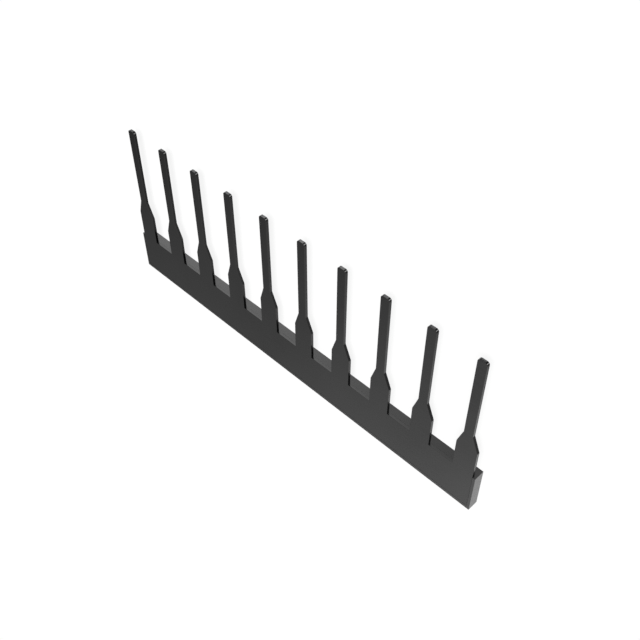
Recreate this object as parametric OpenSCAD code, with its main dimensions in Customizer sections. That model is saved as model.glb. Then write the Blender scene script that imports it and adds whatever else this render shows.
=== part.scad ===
// Plug-in jumper bar for a row of rail-mounted terminals. A stamped contact comb sits flush in a
// pocket along the front of a moulded insulating spine. The bar lies on the back of the spine:
// X runs along the bar, the tines point towards +Y, and the comb's face looks up along +Z.
// All sizes are in millimetres.

/* [Comb] */
// Number of poles that the bar joins
poles = 10; // [2:1:24]
// Distance from one pole to the next
pitch = 5.2; // [4:0.1:12]
// Thickness of the stamped sheet
sheet_t = 0.33; // [0.2:0.01:0.8]
// Width of the wide base of each tine
base_w = 2.33; // [1.8:0.01:3.6]
// Height of the wide base above the bar
base_h = 3.44; // [1:0.01:8]
// Height over which the shoulders taper from the base to the pin
shoulder_h = 1.78; // [0.5:0.01:4]
// Width of the contact pin
pin_w = 1.01; // [0.8:0.01:1.4]
// Length of the contact pin above its shoulders
pin_l = 9.43; // [4:0.01:16]
// Sideways step from the middle of the base to the middle of the pin
pin_shift = -0.1; // [-0.2:0.01:0.2]
// Radius of the two corners at the tip of the pin
tip_r = 0.27; // [0.1:0.01:0.6]

/* [Spine] */
// Height of the bar, from its free edge to the edge that the tines leave
bar_h = 4.98; // [3:0.01:10]
// Depth of the bar, from its back to its front
bar_d = 1.25; // [1.1:0.05:3]
// Thickness of the wall at each end of the pocket
end_wall = 0.3; // [0.2:0.05:2]
// Height of the lip that carries the edge of the comb's web
lip_h = 0.4; // [0.2:0.05:1.5]

/* [Fit] */
// Clearance between the web and each wall of its pocket
seat_gap = 0.02; // [0.01:0.01:0.1]

/* [Hidden] */
$fn = 64;

// Flat length that stays between the two rounded corners of a tip
tip_flat_min = 0.1;
// How far a cut runs past the face that it opens
overcut = 0.5;

row_l = (poles - 1) * pitch;
tine_l = base_h + shoulder_h + pin_l;
web_l = row_l + base_w;
web_h = bar_h - lip_h - seat_gap;
pocket_l = web_l + 2 * seat_gap;
bar_l = pocket_l + 2 * end_wall;
tip_round = min(tip_r, (pin_w - tip_flat_min) / 2);

// The origin lies under the middle of the whole bar, on the plane of the spine's back
bar_edge_y = (bar_h - tine_l) / 2;
bar_foot_y = bar_edge_y - bar_h;
sheet_z = bar_d - sheet_t;

// One contact pin as a flat outline: straight sides, a flat end and two rounded corners.
// Its foot is the line y = 0 and its middle is x = 0.
module pin_outline() {
    flat_w = pin_w - 2 * tip_round;
    translate([-pin_w / 2, 0]) square([pin_w, pin_l - tip_round]);
    translate([-flat_w / 2, 0]) square([flat_w, pin_l]);
    for (side = [-1, 1])
        translate([side * flat_w / 2, pin_l - tip_round]) circle(r = tip_round);
}

// One whole tine: the root that runs down through the web, the wide base, the two shoulders,
// which differ because the pin stands off the middle of its base, and the pin.
// The edge of the bar is the line y = 0.
module tine_outline() {
    shoulder_y = base_h + shoulder_h;
    polygon([
        [-base_w / 2, -web_h],
        [base_w / 2, -web_h],
        [base_w / 2, base_h],
        [pin_shift + pin_w / 2, shoulder_y],
        [pin_shift - pin_w / 2, shoulder_y],
        [-base_w / 2, base_h]
    ]);
    translate([pin_shift, shoulder_y]) pin_outline();
}

// The stamped comb: one web that joins the roots of all tines, cut from a single sheet
module contact_comb() {
    color("#454546")
    translate([0, bar_edge_y, sheet_z])
    linear_extrude(height = sheet_t) {
        translate([-web_l / 2, -web_h]) square([web_l, web_h]);
        for (i = [0 : poles - 1])
            translate([i * pitch - row_l / 2, 0]) tine_outline();
    }
}

// The moulded spine: a bar with a shallow pocket along its front, open towards the tines and
// closed by a wall at each end and a lip at the foot, as deep as the sheet is thick
module insulating_spine() {
    color("#3d3d3e")
    translate([0, bar_foot_y, 0])
    difference() {
        translate([-bar_l / 2, 0, 0]) cube([bar_l, bar_h, bar_d]);
        translate([-pocket_l / 2, lip_h, sheet_z])
            cube([pocket_l, bar_h - lip_h + overcut, sheet_t + overcut]);
    }
}

contact_comb();
insulating_spine();
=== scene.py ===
# %% [markdown]
# # A plug-in jumper bar for a row of terminals
# The bar joins ten neighbouring terminals on a rail. It is two pieces: a comb that is stamped from one
# sheet of copper alloy and plated dark, and a spine that is moulded in dark polyamide. The comb lies
# flush in a pocket along the front of the spine, so the two read as one dark part.
#
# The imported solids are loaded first, as a frame that never moves. They could be shown as they are, but
# all their edges are perfectly sharp, and a real edge always turns through a small radius that catches
# the light. So both pieces are worked out again here with numpy, at the same size and in the same place,
# with the radii that a punch and a mould leave.

import bpy
import numpy as np
from mathutils import Matrix, Vector


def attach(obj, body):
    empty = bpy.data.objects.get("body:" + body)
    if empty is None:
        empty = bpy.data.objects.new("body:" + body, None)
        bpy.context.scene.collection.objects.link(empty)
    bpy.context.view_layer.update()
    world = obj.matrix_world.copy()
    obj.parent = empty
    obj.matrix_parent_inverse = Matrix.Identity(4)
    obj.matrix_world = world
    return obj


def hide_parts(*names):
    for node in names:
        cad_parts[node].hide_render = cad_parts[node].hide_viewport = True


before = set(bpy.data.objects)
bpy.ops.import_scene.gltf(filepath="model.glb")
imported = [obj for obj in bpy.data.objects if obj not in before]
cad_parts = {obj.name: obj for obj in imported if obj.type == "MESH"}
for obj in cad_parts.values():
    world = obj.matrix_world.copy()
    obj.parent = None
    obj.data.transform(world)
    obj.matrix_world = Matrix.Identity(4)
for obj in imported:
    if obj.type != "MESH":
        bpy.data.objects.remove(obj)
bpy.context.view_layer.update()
MM = 0.001
print("solids loaded:", ", ".join(sorted(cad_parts)))

# %% [markdown]
# ## Sizes
# Nothing is typed in twice: every size of the two pieces is read off the corner points of the packed
# solids. The comb's corners lie on a few levels along Y. From the foot of its web these are the edge of
# the bar, the top of the wide bases, the top of the shoulders and the start of the rounded tips. On each
# level the corners come in pairs, the left and the right side of each tine.

# %% Measure the solids
MICRON = 1e-6


def corner_points(node):
    """All mesh points of a node, one row of X, Y and Z each, in metres."""
    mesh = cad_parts[node].data
    points = np.empty(3 * len(mesh.vertices))
    mesh.vertices.foreach_get("co", points)
    return points.reshape(-1, 3)


def levels(values):
    """The different values of one coordinate from low to high, told apart to a micrometre."""
    return np.unique(np.round(values / MICRON)) * MICRON


def sides_at(points, level):
    """The left and right X of every tine on one level, as an array of tines by 2."""
    on_level = np.abs(points[:, 1] - level) < MICRON
    return levels(points[on_level, 0]).reshape(-1, 2)


comb_points = corner_points("contact_comb")
comb_levels = levels(comb_points[:, 1])
web_foot, bar_edge, base_top, shoulder_top, tip_start = comb_levels[:5]
tip_end = comb_levels[-1]
sheet_back, sheet_front = levels(comb_points[:, 2])
base_sides = sides_at(comb_points, base_top)
pin_sides = sides_at(comb_points, shoulder_top)
tine_count = len(pin_sides)
tip_radius = tip_end - tip_start

spine_points = corner_points("insulating_spine")
end_left, pocket_left, pocket_right, end_right = levels(spine_points[:, 0])
bar_foot, lip_top, _ = levels(spine_points[:, 1])
bar_back, seat_floor, bar_front = levels(spine_points[:, 2])
print(f"{tine_count} tines, {1 / MM * (tip_end - bar_edge):.2f} mm long above the bar")
print(f"bar {1 / MM * (end_right - end_left):.2f} mm long")
print(f"sheet {1 / MM * (sheet_front - sheet_back):.2f} mm thick")

# %% [markdown]
# ## From arrays to a piece
# Both pieces end as an array of points and a few arrays of faces. One function turns these into a Blender
# object. It marks every edge that turns by more than a set angle as sharp, and lets the large flat faces
# decide the shading normals next to a rounded edge. Without that, the flat faces would look pillowed.

# %% Put points and faces into a mesh
SHARP_ANGLE = np.radians(14)


def make_piece(name, points, faces, attributes):
    """A mesh object at the origin. faces is a list of index arrays, attributes one value for each point."""
    mesh = bpy.data.meshes.new(name)
    corner_lists = [corners for block in faces for corners in block.tolist()]
    mesh.from_pydata(points, [], corner_lists, shade_flat=False)
    for attribute_name, values in attributes.items():
        attribute = mesh.attributes.new(attribute_name, "FLOAT", "POINT")
        attribute.data.foreach_set("value", np.asarray(values, np.float32))
    mesh.set_sharp_from_angle(angle=SHARP_ANGLE)
    mesh.validate()
    piece = bpy.data.objects.new(name, mesh)
    bpy.context.scene.collection.objects.link(piece)
    shading = piece.modifiers.new("flat faces stay flat", "WEIGHTED_NORMAL")
    shading.keep_sharp = True
    print(f"{name}: {len(points)} points, {len(mesh.polygons)} faces")
    return piece


def ring_faces(ring_count, point_count):
    """Quads between neighbouring rings of a closed loop, facing away from the loop's inside."""
    here = np.arange(point_count)
    ahead = np.roll(here, -1)
    low = point_count * np.arange(ring_count - 1)[:, None]
    quads = np.stack([low + here, low + ahead, low + point_count + ahead, low + point_count + here], axis=-1)
    return quads.reshape(-1, 4)


# %% [markdown]
# ## The comb's outline
# The comb is cut from flat sheet, so all of its shape is in one outline. It could be drawn as a list of
# points, but every tine is the same ladder: a left and a right point on each rung, from the edge of the
# bar up to the tip. The rungs close in along a quarter circle at the tip. One array of rungs for all
# tines gives the outline, and the same rungs later close the faces with clean quads.

# %% Outline of the comb
TIP_STEPS = 12


def comb_outline():
    """The outline once round, anticlockwise as seen from the face, along the foot and then tine by tine.

    Round a corner of the tip, at the angle a from 0 to 90 degrees, a rung lies at the height
    tip_start + r sin a and has moved inwards by r (1 - cos a).
    """
    angle = np.linspace(0, np.pi / 2, TIP_STEPS + 1)
    moved_in = tip_radius * (1 - np.cos(angle))
    rung_y = np.concatenate([[bar_edge, base_top, shoulder_top], tip_start + tip_radius * np.sin(angle)])
    left = np.hstack([base_sides[:, [0, 0]], pin_sides[:, [0]], pin_sides[:, [0]] + moved_in])
    right = np.hstack([base_sides[:, [1, 1]], pin_sides[:, [1]], pin_sides[:, [1]] - moved_in])
    up_and_down = np.hstack([right, left[:, ::-1]])[::-1]
    up_and_down_y = np.tile(np.concatenate([rung_y, rung_y[::-1]]), tine_count)
    outline_x = np.concatenate([base_sides.ravel(), up_and_down.ravel()])
    outline_y = np.concatenate([np.full(base_sides.size, web_foot), up_and_down_y])
    return np.column_stack([outline_x, outline_y]), len(rung_y)


outline, rung_count = comb_outline()
print(f"outline of {len(outline)} points, {rung_count} rungs to a tine")

# %% [markdown]
# ## The comb's punched edge
# A punch first pulls the sheet's skin down into a small round shoulder, the die roll, then shears a
# straight wall, and leaves a sharp lower edge with hardly any radius. That section is carried round
# the outline as a profile along a path. A bevel modifier could round the edges too, but it would treat
# front and back alike, and it gives way where the points at the tips lie close together.

# %% Section of the edge, carried round the outline
DIE_ROLL = 0.025 * MM
BURR_BREAK = 0.008 * MM
ROLL_STEPS = 8


def punched_section():
    """Inset and height of each ring, from the back face to the front: burr edge, sheared wall, die roll.

    On the roll, at the angle a, the inset is r (1 - cos a) and the height is front - r + r sin a.
    """
    angle = np.linspace(0, np.pi / 2, ROLL_STEPS + 1)
    inset = np.concatenate([[BURR_BREAK, 0], DIE_ROLL * (1 - np.cos(angle))])
    height = np.concatenate([
        [sheet_back, sheet_back + BURR_BREAK],
        sheet_front - DIE_ROLL + DIE_ROLL * np.sin(angle),
    ])
    return inset, height


def carried_round(path, inset, height):
    """Rings of points: each ring is the path moved inwards by its inset, at its height.

    A corner moves along the mitre (n1 + n2) / (1 + n1 . n2) of the outward normals on both its sides.
    """
    ahead = np.roll(path, -1, axis=0) - path
    normal = np.column_stack([ahead[:, 1], -ahead[:, 0]]) / np.linalg.norm(ahead, axis=1)[:, None]
    before = np.roll(normal, 1, axis=0)
    mitre = (normal + before) / (1 + np.sum(normal * before, axis=1))[:, None]
    plan = path - inset[:, None, None] * mitre
    rise = np.broadcast_to(height[:, None, None], plan.shape[:2] + (1,))
    return np.concatenate([plan, rise], axis=2)


def sheet_faces():
    """Quads that fill the outline: the rungs of every tine, the web below the tines and below the gaps."""
    tine = np.arange(tine_count)
    first = 2 * tine_count + (tine_count - 1 - tine)[:, None] * 2 * rung_count
    right = first + np.arange(rung_count)
    left = first + 2 * rung_count - 1 - np.arange(rung_count)
    foot_left = 2 * tine
    foot_right = foot_left + 1
    rungs = np.stack([left[:, :-1], right[:, :-1], right[:, 1:], left[:, 1:]], axis=-1).reshape(-1, 4)
    below_tines = np.column_stack([foot_left, foot_right, right[:, 0], left[:, 0]])
    below_gaps = np.column_stack([foot_right[:-1], foot_left[1:], left[1:, 0], right[:-1, 0]])
    return np.concatenate([rungs, below_tines, below_gaps])


section_inset, section_height = punched_section()
rings = carried_round(outline, section_inset, section_height)
back_face = sheet_faces()[:, ::-1]
front_face = sheet_faces() + (len(rings) - 1) * len(outline)
side_steps = np.linalg.norm(np.roll(outline, -1, axis=0) - outline, axis=1)
walked = np.concatenate([[0], np.cumsum(side_steps)[:-1]])
on_wall = np.linspace(1, 0, ROLL_STEPS + 1)
comb = make_piece(
    "contact_comb_punched",
    rings.reshape(-1, 3),
    [ring_faces(len(rings), len(outline)), back_face, front_face],
    {
        "along_cut": np.tile(walked / MM, len(rings)),
        "through_sheet": np.repeat((section_height - sheet_back) / (sheet_front - sheet_back), len(outline)),
        "cut_wall": np.repeat(np.concatenate([[0, 1], on_wall]), len(outline)),
    },
)

# %% [markdown]
# ## The spine
# The spine is one moulding: a slim bar with a shallow pocket along its front, open towards the tines. A
# mould can't have knife edges, so the outer edges have a small radius. The bar could be a box with a
# bevel and a cut, but here it is one surface: a section of the bar carried along X. Every point of the
# section is a core point plus the radius times a direction, as if a small ball rolled over a core. At
# the ends the ball rolls round the corner too. Between the end walls the section drops to the pocket's
# floor, and points that fall together there are welded.

# %% Section of the spine, carried along the bar
MOULD_RADIUS = 0.03 * MM
EDGE_STEPS = 8
CORNER_POINTS = EDGE_STEPS + 1
SEAT_EDGE = 2 * CORNER_POINTS                 # place in the section of the point on the seat's level
LIP_INSIDE = SEAT_EDGE + 1 + CORNER_POINTS    # and of the lip's inner point
WELD = 0.01 * MICRON


def spine_section():
    """Core point and direction of each point round the section, anticlockwise in Y and Z.

    Corner by corner: foot and back, edge and back, the seat's level on the edge, edge and front,
    twice the lip on the front, foot and front.
    """
    r = MOULD_RADIUS
    quarter = np.linspace(0, np.pi / 2, CORNER_POINTS)
    angle = np.concatenate([
        np.pi + quarter, 1.5 * np.pi + quarter, [0], quarter, [np.pi / 2, np.pi / 2], np.pi / 2 + quarter])
    centres = np.array([
        (bar_foot + r, bar_back + r), (bar_edge - r, bar_back + r), (bar_edge - r, seat_floor),
        (bar_edge - r, bar_front - r), (lip_top, bar_front - r), (bar_foot + r, bar_front - r)])
    core = np.repeat(centres, [CORNER_POINTS, CORNER_POINTS, 1, CORNER_POINTS, 2, CORNER_POINTS], axis=0)
    return core, np.column_stack([np.cos(angle), np.sin(angle)])


def pocket_section(closed):
    """The section between the end walls: the front corner and the lip's inner point drop to the seat."""
    opened = closed.copy()
    opened[SEAT_EDGE:LIP_INSIDE] = (bar_edge, seat_floor)
    opened[LIP_INSIDE] = (lip_top, seat_floor)
    return opened


def spine_surface():
    """Stations along X times points of the section, and how far each point is round an edge.

    Where the ball rolls round an end, at the angle a, the station lies r (1 - sin a) inside the end and
    the radius has shrunk to r cos a. The share of an edge is sin 2a: 0 on the flats, 1 halfway round.
    """
    turn = np.linspace(np.pi / 2, 0, CORNER_POINTS)
    core, direction = spine_section()
    closing = core + (MOULD_RADIUS * np.cos(turn))[:, None, None] * direction
    closed = closing[-1]
    opened = pocket_section(closed)
    sections = np.concatenate([closing, [closed, opened, opened, closed], closing[::-1]])
    in_from_end = MOULD_RADIUS * (1 - np.sin(turn))
    pocket_ends = [pocket_left, pocket_left, pocket_right, pocket_right]
    stations = np.concatenate([end_left + in_from_end, pocket_ends, (end_right - in_from_end)[::-1]])
    along = np.broadcast_to(stations[:, None, None], sections.shape[:2] + (1,))
    round_section = np.abs(np.sin(2 * np.arctan2(direction[:, 1], direction[:, 0])))
    round_end = np.concatenate([np.sin(2 * turn), np.zeros(len(pocket_ends)), np.sin(2 * turn[::-1])])
    on_edge = np.maximum(round_section, round_end[:, None])
    first_opened = len(closing) + 1
    on_edge[first_opened:first_opened + 2, SEAT_EDGE:-CORNER_POINTS] = 0
    return np.concatenate([along, sections], axis=2), on_edge


def weld(points, quads, ends):
    """Merges points that lie together. A quad that loses one corner is a triangle, and less is dropped."""
    _, first, merged = np.unique(np.round(points / WELD), axis=0, return_index=True, return_inverse=True)
    merged = merged.ravel()
    quads = merged[quads]
    doubled = quads == np.roll(quads, -1, axis=1)
    corners_left = 4 - doubled.sum(axis=1)
    with_three = corners_left == 3
    triangles = quads[with_three][~doubled[with_three]].reshape(-1, 3)
    closings = [merged[end][merged[end] != np.roll(merged[end], -1)][None] for end in ends]
    return points[first], [quads[corners_left == 4], triangles, *closings], first


surface, on_edge = spine_surface()
station_count, section_count = surface.shape[:2]
first_end = np.arange(section_count)[::-1]
last_end = np.arange(section_count) + (station_count - 1) * section_count
welded, spine_faces, kept = weld(
    surface.reshape(-1, 3), ring_faces(station_count, section_count), [first_end, last_end])
spine = make_piece("insulating_spine_moulded", welded, spine_faces, {"edge": on_edge.ravel()[kept]})

# %% [markdown]
# ## Tools for the materials
# Colours are written as sRGB hex values, the way a colour picker shows them, and one function turns them
# into the linear values that the shader works with. Another adds a node: its settings, its input values
# and its links in one call, so that each material reads as a short recipe. Much in the finishes and in the
# light follows something else between two limits, such as a place along the bar, and a third function is
# for that.

# %% Colour and node helpers
HEX_DIGITS = 16
BYTE = 255
TOE_END = 0.04045     # the sRGB curve is a straight toe up to here, and a power curve above it
TOE_SLOPE = 12.92
CURVE_OFFSET = 0.055
CURVE_POWER = 2.4


def linear(hex_colour):
    """sRGB hex to linear RGBA: v / 12.92 in the toe, ((v + 0.055) / 1.055) ^ 2.4 above it."""
    channels = np.array([int(hex_colour[i:i + 2], HEX_DIGITS) for i in (1, 3, 5)]) / BYTE
    curve = ((channels + CURVE_OFFSET) / (1 + CURVE_OFFSET)) ** CURVE_POWER
    values = np.where(channels <= TOE_END, channels / TOE_SLOPE, curve)
    return (*values.tolist(), 1.0)


def add_node(tree, kind, inputs=None, **settings):
    """Adds a node of that kind. An input is a value, or the output socket that it is linked to."""
    node = tree.nodes.new(kind)
    for name, value in settings.items():
        setattr(node, name, value)
    for name, value in (inputs or {}).items():
        if isinstance(value, bpy.types.NodeSocket):
            tree.links.new(value, node.inputs[name])
        else:
            node.inputs[name].default_value = value
    return node


def between(tree, value, start, end, low, high, **settings):
    """Socket that passes from low to high while the value passes from start to end, and stays so beyond."""
    return add_node(tree, "ShaderNodeMapRange", {
        "Value": value, "From Min": start, "From Max": end, "To Min": low, "To Max": high,
    }, **settings).outputs["Result"]


def new_material(name):
    """An empty node material."""
    material = bpy.data.materials.new(name)
    material.use_nodes = True
    material.node_tree.nodes.clear()
    return material


# %% [markdown]
# ## Dark plating on punched copper alloy
# The comb is punched from rolled strip and then plated dark all over. Plating follows the metal below it.
# On the faces the eye sees a satin shine with faint grain along the strip. The cut walls carry painted
# light and shade by which way they face: a wall that faces up the tines is painted about as light as the
# faces, and the other walls above the seat are painted much darker. Round the corners of the tips a narrow
# light band is a painted highlight, with painted dark reflections beside it, and the band lies nearer to
# the flat end on each further tine, as a reflection would. The edges are a little worn. A metal has no
# diffuse colour: its grey is its reflection, and its base colour is the share of the light that it sends
# back.
#
# The faces and the walls could be two materials, but they meet on a round edge. So each has a short
# function for its colour, and one material blends them by an attribute of the mesh, which is 1 on a cut
# wall and fades out over the die roll.

# %% Colour of the rolled faces
COLOUR_1 = 6          # a Mix node numbers its two colours and the mixed colour
COLOUR_2 = 7
MIXED_COLOUR = 2
GRAIN_WIDTH = 0.14    # mm: the real grain is about 0.03 mm wide, drawn coarser, so that it shows
GRAIN_LENGTH = 2.2    # mm
GRAIN_DETAIL = 3.0    # layers of finer grain within the grain
GRAIN_FADE = 0.55     # strength of each finer layer, as a share of the one before
GRAIN_SHARE = 0.5     # share of the grain in the mottle, clouds are the rest
CLOUD_SIZE = 5.0      # mm
FACE_DEEP = "#3c3c3c"
FACE_PALE = "#4a4a4a"


def per_mm(size):
    """Pattern scale, in repeats to a metre, from a size in millimetres."""
    return 1 / (size * MM)


def rolled_face(tree, place):
    """Colour of the faces, a mottle of grain and wider clouds, and the grain itself."""
    along_strip = add_node(tree, "ShaderNodeMapping", {
        "Vector": place,
        "Scale": (per_mm(GRAIN_LENGTH), per_mm(GRAIN_WIDTH), per_mm(GRAIN_WIDTH)),
    })
    grain = add_node(tree, "ShaderNodeTexNoise", {
        "Vector": along_strip.outputs["Vector"], "Scale": 1.0,
        "Detail": GRAIN_DETAIL, "Roughness": GRAIN_FADE,
    }).outputs["Fac"]
    clouds = add_node(tree, "ShaderNodeTexNoise", {
        "Vector": place, "Scale": per_mm(CLOUD_SIZE)}).outputs["Fac"]
    mottle = add_node(tree, "ShaderNodeMix", {
        "Factor": GRAIN_SHARE, "A": clouds, "B": grain}).outputs["Result"]
    colour = add_node(tree, "ShaderNodeMix", {
        "Factor": mottle, COLOUR_1: linear(FACE_DEEP), COLOUR_2: linear(FACE_PALE),
    }, data_type="RGBA").outputs[MIXED_COLOUR]
    return colour, grain


# %% Colour of the cut walls, with painted light and shade
TURN_POWER = 2.2      # how late the painted light rises as a wall turns to face up the tines
# Painted shade and painted light tones of the cut walls
WALL_PAINTED_SHADE = "#141414"
WALL_PAINTED_LIGHT = "#434343"
# Painted dark reflections and painted highlight round the corners of the tips
TIP_PAINTED_DARK_REFLECTION = "#101010"
TIP_PAINTED_HIGHLIGHT = "#5c5c5c"
BAND_FIRST = 0.66     # power of the normal's Y on the first tine: a higher one moves the painted highlight to the end
BAND_LAST = 1.6       # and on the last tine
# Painted tones round a tip corner, by that power of the normal's Y: 0 on the long walls, 1 on the flat end
TIP_TONES = [
    (0.05, WALL_PAINTED_SHADE), (0.15, TIP_PAINTED_DARK_REFLECTION), (0.50, TIP_PAINTED_DARK_REFLECTION), (0.57, TIP_PAINTED_HIGHLIGHT),
    (0.72, TIP_PAINTED_HIGHLIGHT), (0.78, WALL_PAINTED_SHADE), (0.990, WALL_PAINTED_SHADE), (0.998, WALL_PAINTED_LIGHT),
]


def tip_corner(tree, facing, along):
    """Colour round the tip corners: a painted highlight band with painted dark reflections beside it.

    The tones follow the normal's Y to a power that grows evenly from the first tine to the last.
    """
    first_tine = pin_sides[0].mean()
    last_tine = pin_sides[-1].mean()
    power = between(tree, along, first_tine, last_tine, BAND_FIRST, BAND_LAST)
    turned = add_node(tree, "ShaderNodeMath", {0: facing, 1: power}, operation="POWER").outputs[0]
    ramp = add_node(tree, "ShaderNodeValToRGB", {"Fac": turned})
    stops = ramp.color_ramp.elements
    stops.remove(stops[0])
    for position, tone in TIP_TONES:
        stops.new(position).color = linear(tone)
    stops.remove(stops[-1])
    return ramp.outputs["Color"]


def punched_wall(tree, place):
    """Walls: painted light facing up the tines and in the seat, painted shade elsewhere; tips by tones."""
    normal = add_node(tree, "ShaderNodeTexCoord").outputs["Normal"]
    facing = add_node(tree, "ShaderNodeSeparateXYZ", {"Vector": normal}).outputs["Y"]
    spot = add_node(tree, "ShaderNodeSeparateXYZ", {"Vector": place}).outputs
    level = spot["Y"]
    # Walls facing up the tines, towards +Y, get painted light; other walls above the seat get painted shade
    painted_light_up_tines = add_node(tree, "ShaderNodeMath", {0: facing, 1: TURN_POWER}, operation="POWER").outputs[0]
    in_seat = add_node(tree, "ShaderNodeMath", {0: level, 1: bar_edge}, operation="LESS_THAN").outputs[0]
    light = add_node(tree, "ShaderNodeMath", {0: painted_light_up_tines, 1: in_seat}, operation="MAXIMUM").outputs[0]
    straight = add_node(tree, "ShaderNodeMix", {
        "Factor": light, COLOUR_1: linear(WALL_PAINTED_SHADE), COLOUR_2: linear(WALL_PAINTED_LIGHT),
    }, data_type="RGBA").outputs[MIXED_COLOUR]
    at_tip = add_node(tree, "ShaderNodeMath", {0: level, 1: tip_start}, operation="GREATER_THAN").outputs[0]
    return add_node(tree, "ShaderNodeMix", {
        "Factor": at_tip, COLOUR_1: straight, COLOUR_2: tip_corner(tree, facing, spot["X"]),
    }, data_type="RGBA").outputs[MIXED_COLOUR]


# %% Material of the comb
NOISE_LOW = 0.3           # nearly all values of a noise texture lie between these two
NOISE_HIGH = 0.7
STREAK_WIDTH = 0.12       # mm: shear marks are about 0.02 mm apart, drawn coarser too
GRAIN_DEPTH = 0.0025      # mm
GRAIN_STRENGTH = 0.6
FACE_SMOOTH = 0.20        # roughness of the faces, from the smoothest grain to the dullest
FACE_DULL = 0.28
BROKEN_BELOW = 0.45       # share of the sheet's thickness, from its back, where the cut broke off dull
SHEARED_ABOVE = 0.62
WALL_BROKEN = 0.32        # roughness of the walls, where they broke off and where they were sheared
WALL_SHEARED = 0.16
WORN_RIM = "#505050"
RIM_PEAK = 0.25           # a share times its rest is a quarter at most, halfway round the die roll


def dark_plated_copper():
    """Satin dark plating over rolled and punched strip."""
    material = new_material("dark plated copper alloy, rolled and punched")
    tree = material.node_tree
    place = add_node(tree, "ShaderNodeTexCoord").outputs["Object"]
    wall = add_node(tree, "ShaderNodeAttribute", attribute_name="cut_wall").outputs["Fac"]
    through = add_node(tree, "ShaderNodeAttribute", attribute_name="through_sheet").outputs["Fac"]
    walked = add_node(tree, "ShaderNodeAttribute", attribute_name="along_cut").outputs["Fac"]
    streaks = add_node(tree, "ShaderNodeTexNoise", {
        "W": walked, "Scale": 1 / STREAK_WIDTH}, noise_dimensions="1D").outputs["Fac"]
    face_colour, grain = rolled_face(tree, place)
    plated = add_node(tree, "ShaderNodeMix", {
        "Factor": wall, COLOUR_1: face_colour, COLOUR_2: punched_wall(tree, place),
    }, data_type="RGBA").outputs[MIXED_COLOUR]
    off_wall = add_node(tree, "ShaderNodeMath", {0: 1.0, 1: wall}, operation="SUBTRACT").outputs[0]
    rim = add_node(tree, "ShaderNodeMath", {0: wall, 1: off_wall}, operation="MULTIPLY").outputs[0]
    worn = between(tree, rim, 0.0, RIM_PEAK, 0.0, streaks)
    colour = add_node(tree, "ShaderNodeMix", {
        "Factor": worn, COLOUR_1: plated, COLOUR_2: linear(WORN_RIM),
    }, data_type="RGBA").outputs[MIXED_COLOUR]
    face_rough = between(tree, grain, NOISE_LOW, NOISE_HIGH, FACE_SMOOTH, FACE_DULL)
    wall_rough = between(
        tree, through, BROKEN_BELOW, SHEARED_ABOVE, WALL_BROKEN, WALL_SHEARED,
        interpolation_type="SMOOTHSTEP")
    rough = add_node(tree, "ShaderNodeMix", {
        "Factor": wall, "A": face_rough, "B": wall_rough}).outputs["Result"]
    relief = add_node(tree, "ShaderNodeMix", {"Factor": wall, "A": grain, "B": streaks}).outputs["Result"]
    bump = add_node(tree, "ShaderNodeBump", {
        "Height": relief, "Strength": GRAIN_STRENGTH, "Distance": GRAIN_DEPTH * MM}).outputs["Normal"]
    shader = add_node(tree, "ShaderNodeBsdfPrincipled", {
        "Base Color": colour, "Metallic": 1.0, "Roughness": rough, "Normal": bump})
    add_node(tree, "ShaderNodeOutputMaterial", {"Surface": shader.outputs["BSDF"]})
    return material


comb.data.materials.append(dark_plated_copper())
print("comb material:", comb.data.materials[0].name)

# %% [markdown]
# ## Glass-filled polyamide, moulded
# Insulating parts like this are moulded in glass-filled polyamide against a lightly spark-eroded tool. The
# eye sees a deep grey that is a little cloudy where the melt flowed, a fine even tooth, and a soft sheen
# instead of a mirror. The plastic is dark because it is pigmented, so it has a weak diffuse colour below
# its gloss. Handling has polished the tooth off the edges in places, and they are a shade lighter there.

# %% Material of the spine
TOOTH_SIZE = 0.16     # mm: the eroded tooth is about 0.03 mm across, drawn coarser, so that it shows
TOOTH_DEPTH = 0.003   # mm
TOOTH_STRENGTH = 0.5
TOOTH_FADE = 0.6      # strength of each finer layer, as a share of the one before
TOOTH_SMOOTH = 0.22   # roughness, from the smoothest spots of the tooth to the dullest
TOOTH_DULL = 0.28
FLOW_SIZE = 7.0       # mm
FLOW_SWIRL = 0.4
FLOW_DEEP = "#171717"
FLOW_PALE = "#1b1b1b"
HANDLED_EDGE = "#2a2a2a"
POLYAMIDE_IOR = 1.5
POLISHED = 0.15       # roughness of an edge that is polished by handling


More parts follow.
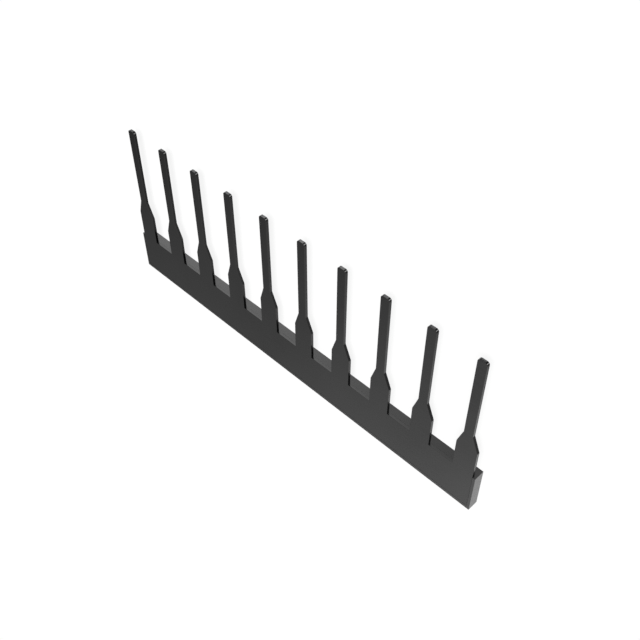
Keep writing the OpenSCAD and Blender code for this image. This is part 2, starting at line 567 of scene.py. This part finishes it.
def moulded_polyamide():
    """Dark glass-filled polyamide with a fine eroded tooth."""
    material = new_material("dark glass-filled polyamide, moulded")
    tree = material.node_tree
    place = add_node(tree, "ShaderNodeTexCoord").outputs["Object"]
    tooth = add_node(tree, "ShaderNodeTexNoise", {
        "Vector": place, "Scale": per_mm(TOOTH_SIZE), "Roughness": TOOTH_FADE}).outputs["Fac"]
    flow = add_node(tree, "ShaderNodeTexNoise", {
        "Vector": place, "Scale": per_mm(FLOW_SIZE), "Distortion": FLOW_SWIRL}).outputs["Fac"]
    clouded = add_node(tree, "ShaderNodeMix", {
        "Factor": flow, COLOUR_1: linear(FLOW_DEEP), COLOUR_2: linear(FLOW_PALE),
    }, data_type="RGBA").outputs[MIXED_COLOUR]
    edge = add_node(tree, "ShaderNodeAttribute", attribute_name="edge").outputs["Fac"]
    handled = add_node(tree, "ShaderNodeMath", {0: edge, 1: flow}, operation="MULTIPLY").outputs[0]
    colour = add_node(tree, "ShaderNodeMix", {
        "Factor": handled, COLOUR_1: clouded, COLOUR_2: linear(HANDLED_EDGE),
    }, data_type="RGBA").outputs[MIXED_COLOUR]
    toothed = between(tree, tooth, NOISE_LOW, NOISE_HIGH, TOOTH_SMOOTH, TOOTH_DULL)
    rough = add_node(tree, "ShaderNodeMix", {
        "Factor": handled, "A": toothed, "B": POLISHED}).outputs["Result"]
    bump = add_node(tree, "ShaderNodeBump", {
        "Height": tooth, "Strength": TOOTH_STRENGTH, "Distance": TOOTH_DEPTH * MM}).outputs["Normal"]
    shader = add_node(tree, "ShaderNodeBsdfPrincipled", {
        "Base Color": colour, "Roughness": rough, "IOR": POLYAMIDE_IOR, "Normal": bump})
    add_node(tree, "ShaderNodeOutputMaterial", {"Surface": shader.outputs["BSDF"]})
    return material


spine.data.materials.append(moulded_polyamide())
print("spine material:", spine.data.materials[0].name)

# %% [markdown]
# ## Standing in for the solids
# The two new pieces take the place of the two solids, so these are no longer shown. The bar has no moving
# parts, so both pieces ride on its one body.

# %% Replace the solids
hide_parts("contact_comb")
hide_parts("insulating_spine")
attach(comb, "root")
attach(spine, "root")

# %% [markdown]
# ## The floor
# The bar lies on a plain pale floor that runs out of the picture on all sides. It is a matt white board
# that passes the lamp's light on. The edges of the bar look down on it and mirror it, so reflections see a
# floor with light of its own. Beside the tines it falls from left to right, and on the right it also fades
# along the pins. At the tips it rises to the right, and beyond them it swells to a glow that lifts their
# flat ends. The camera is shown a version that is nearly all its own light too: plain white and no
# brighter, with no more light on the bar. The matt share that is left in it keeps the bar's shadow.

# %% Floor
FLOOR_SIDE = 6.0              # m
BOARD_COLOUR = "#f0f0f0"
SHADOW_SHARE = "#6f6f6f"      # matt share of what the camera sees, which takes the shadow
FLOOR_SEEN = 0.86             # own light for the camera, where 1 is white
MIRRORED_LEFT = 2.3           # own light for reflections, on the left beside the tines and at their tips
MIRRORED_RIGHT = 1.14         # on the right, up to the feet of the pins
MIRRORED_PINS = 0.66          # on the right, beside the ends of the pins
MIRRORED_TIPS = 4.0           # on the right, at the tips
CHANGE_START = -3 * MM        # the X between which it changes from left to right
CHANGE_END = 20 * MM
FADE_START = 0 * MM           # the Y between which it fades on the right
FADE_END = 8 * MM
GLOW_LEFT = 1.6               # beyond the tips, from the left over the glow's middle to the right
GLOW_PEAK = 3.5
GLOW_RIGHT = 0.8
GLOW_START = -24.5 * MM       # the X of these three
GLOW_MIDDLE = 2.5 * MM
GLOW_END = 22 * MM
TIP_LIGHT_FROM = tip_end - 0.35 * MM   # the Y where the light beside the tines passes into that at the tips
TIP_LIGHT_FULL = tip_end
GLOW_FROM = tip_end + 0.9 * MM         # and that at the tips into the glow
GLOW_FULL = tip_end + 1.2 * MM


def mirrored_light(tree, place):
    """Own light of the floor as reflections see it: beside the tines, at their tips and beyond them."""
    spot = add_node(tree, "ShaderNodeSeparateXYZ", {"Vector": place}).outputs
    on_right = between(tree, spot["Y"], FADE_START, FADE_END, MIRRORED_RIGHT, MIRRORED_PINS)
    beside = between(tree, spot["X"], CHANGE_START, CHANGE_END, MIRRORED_LEFT, on_right)
    at_tips = between(tree, spot["X"], CHANGE_START, CHANGE_END, MIRRORED_LEFT, MIRRORED_TIPS)
    rising = between(tree, spot["X"], GLOW_START, GLOW_MIDDLE, GLOW_LEFT, GLOW_PEAK)
    sinking = between(tree, spot["X"], GLOW_MIDDLE, GLOW_END, GLOW_PEAK, GLOW_RIGHT)
    beyond = add_node(tree, "ShaderNodeMath", {0: rising, 1: sinking}, operation="MINIMUM").outputs[0]
    up_to_tips = between(tree, spot["Y"], TIP_LIGHT_FROM, TIP_LIGHT_FULL, beside, at_tips)
    return between(tree, spot["Y"], GLOW_FROM, GLOW_FULL, up_to_tips, beyond)


def pale_floor():
    """A matt white board. Reflections see a shaped light, the camera a white with a faint shadow."""
    material = new_material("matt pale floor")
    tree = material.node_tree
    path = add_node(tree, "ShaderNodeLightPath").outputs
    place = add_node(tree, "ShaderNodeTexCoord").outputs["Object"]
    board = add_node(tree, "ShaderNodeBsdfDiffuse", {"Color": linear(BOARD_COLOUR)}).outputs["BSDF"]
    own_light = mirrored_light(tree, place)
    mirrored = add_node(tree, "ShaderNodeEmission", {"Strength": own_light}).outputs["Emission"]
    unseen = add_node(tree, "ShaderNodeMixShader", {
        0: path["Is Glossy Ray"], 1: board, 2: mirrored}).outputs["Shader"]
    shown = add_node(tree, "ShaderNodeAddShader", {
        0: add_node(tree, "ShaderNodeBsdfDiffuse", {"Color": linear(SHADOW_SHARE)}).outputs["BSDF"],
        1: add_node(tree, "ShaderNodeEmission", {"Strength": FLOOR_SEEN}).outputs["Emission"],
    }).outputs["Shader"]
    directly = add_node(tree, "ShaderNodeMath", {
        0: path["Is Camera Ray"], 1: path["Is Transmission Ray"]}, operation="MAXIMUM").outputs[0]
    floor_shader = add_node(tree, "ShaderNodeMixShader", {0: directly, 1: unseen, 2: shown})
    add_node(tree, "ShaderNodeOutputMaterial", {"Surface": floor_shader.outputs["Shader"]})
    return material


floor_corners = FLOOR_SIDE / 2 * np.array([(-1, -1, 0), (1, -1, 0), (1, 1, 0), (-1, 1, 0)], float)
floor_mesh = bpy.data.meshes.new("floor")
floor_mesh.from_pydata(floor_corners, [], [(0, 1, 2, 3)])
floor_mesh.materials.append(pale_floor())
floor = bpy.data.objects.new("floor", floor_mesh)
bpy.context.scene.collection.objects.link(floor)
print(f"floor {FLOOR_SIDE:.0f} m wide")

# %% [markdown]
# ## The room
# Dark shiny things are lit by what they mirror. For matt surfaces the room is an even, soft fill. For
# reflections it is dim on the left and rises to white on the right in soft steps, as if panels stood
# there side by side, and that gives the face of the bar its slow gradient. It is a little dimmer towards
# the ceiling, so the tines on the right darken towards their tips. One more panel on the far left keeps
# the bar from going black when it is seen from its right end.

# %% Room
ROOM_COLOUR = "#ffffff"
SEEN_LEVEL = 1.0              # white for the camera
FILL_LEVEL = 0.3
ROOM_DIM = 0.11
# Each panel: the X of the direction where it starts and where it is full, and what it adds
PANELS = [(-0.82, -0.95, 0.45), (-0.78, -0.61, 0.30), (-0.52, -0.43, 0.30), (-0.31, -0.27, 0.44)]
DIMMER_FROM = 0.52            # the Z of the direction where it starts to dim, and where it is dimmest
DIMMER_TO = 0.60
DIMMER_SHARE = 0.82

room = bpy.data.worlds.new("soft room")
room.use_nodes = True
room_tree = room.node_tree
room_tree.nodes.clear()
bpy.context.scene.world = room
looking = add_node(room_tree, "ShaderNodeTexCoord").outputs["Generated"]
direction = add_node(room_tree, "ShaderNodeSeparateXYZ", {"Vector": looking}).outputs
room_mirrored = ROOM_DIM
for panel_start, panel_full, panel_level in PANELS:
    panel = between(room_tree, direction["X"], panel_start, panel_full, 0.0, panel_level)
    room_mirrored = add_node(room_tree, "ShaderNodeMath", {0: room_mirrored, 1: panel}).outputs[0]
upwards_share = between(room_tree, direction["Z"], DIMMER_FROM, DIMMER_TO, 1.0, DIMMER_SHARE)
room_mirrored = add_node(room_tree, "ShaderNodeMath", {
    0: room_mirrored, 1: upwards_share}, operation="MULTIPLY").outputs[0]
room_path = add_node(room_tree, "ShaderNodeLightPath").outputs
matt_or_mirror = add_node(room_tree, "ShaderNodeMix", {
    "Factor": room_path["Is Glossy Ray"], "A": FILL_LEVEL, "B": room_mirrored}).outputs["Result"]
room_strength = add_node(room_tree, "ShaderNodeMix", {
    "Factor": room_path["Is Camera Ray"], "A": matt_or_mirror, "B": SEEN_LEVEL}).outputs["Result"]
room_light = add_node(room_tree, "ShaderNodeBackground", {
    "Color": linear(ROOM_COLOUR), "Strength": room_strength})
add_node(room_tree, "ShaderNodeOutputWorld", {"Surface": room_light.outputs["Background"]})
print(f"room of {len(PANELS)} soft panels")

# %% [markdown]
# ## The lamp
# One wide soft lamp stands on the camera's side, a little higher, so that most of the bar's shadow falls
# behind the bar. A lamp close by would light the far floor less than the near floor, so it is a far one:
# a sun that is spread to a wide, soft disc lights all of the floor alike. It is kept out of reflections,
# which see only the room and the floor, so the dark plating stays dark from every side.

# %% Lamp
LAMP_AZIMUTH = np.radians(55)
LAMP_ELEVATION = np.radians(50)
LAMP_SPREAD = np.radians(40)
LAMP_LEVEL = 0.82             # at level 1, a white card that faces the lamp renders white

lamp_data = bpy.data.lights.new("soft lamp beside the camera", "SUN")
lamp_data.angle = LAMP_SPREAD
# A sun that is spread gives less light, by the squared cosine of half its spread
lamp_data.energy = np.pi * LAMP_LEVEL / np.cos(LAMP_SPREAD / 2) ** 2
towards_lamp = Vector((
    np.cos(LAMP_AZIMUTH) * np.cos(LAMP_ELEVATION),
    np.sin(LAMP_AZIMUTH) * np.cos(LAMP_ELEVATION),
    np.sin(LAMP_ELEVATION),
))
lamp = bpy.data.objects.new("soft lamp beside the camera", lamp_data)
lamp.rotation_euler = towards_lamp.to_track_quat("Z", "Y").to_euler()
lamp.visible_glossy = False
bpy.context.scene.collection.objects.link(lamp)
print(f"lamp of {lamp_data.energy:.2f} W on each square metre")

# %% [markdown]
# ## The camera
# The bar is seen turned by 45 degrees about its upright axis, Y, and from 45 degrees above. Since it
# lies on its back here, that is a camera that looks down on the bar and is rolled, so that the tines still
# point up in the picture. The lens and the distance give the strong perspective of a close view.

# %% Camera
TURN = np.radians(45)
TIP = np.radians(45)
AIM = Vector((5.034, 1.557, 1.25)) * MM
CAMERA_DISTANCE = 82.93 * MM
LENS = 48.2                   # mm

towards_camera = Vector((np.sin(TURN) * np.cos(TIP), np.sin(TIP), np.cos(TURN) * np.cos(TIP)))
to_the_right = Vector((np.cos(TURN), 0, -np.sin(TURN)))
upwards = towards_camera.cross(to_the_right)
camera_data = bpy.data.cameras.new("camera")
camera_data.lens = LENS
camera_data.clip_start = 1 * MM
camera_data.clip_end = 2 * FLOOR_SIDE
camera = bpy.data.objects.new("camera", camera_data)
camera.matrix_world = Matrix.Translation(AIM + CAMERA_DISTANCE * towards_camera) @ Matrix(
    (to_the_right, upwards, towards_camera)).transposed().to_4x4()
bpy.context.scene.collection.objects.link(camera)
bpy.context.scene.camera = camera
bpy.context.scene.view_settings.view_transform = "Standard"
print("camera at", [round(value / MM, 2) for value in camera.matrix_world.translation], "mm")
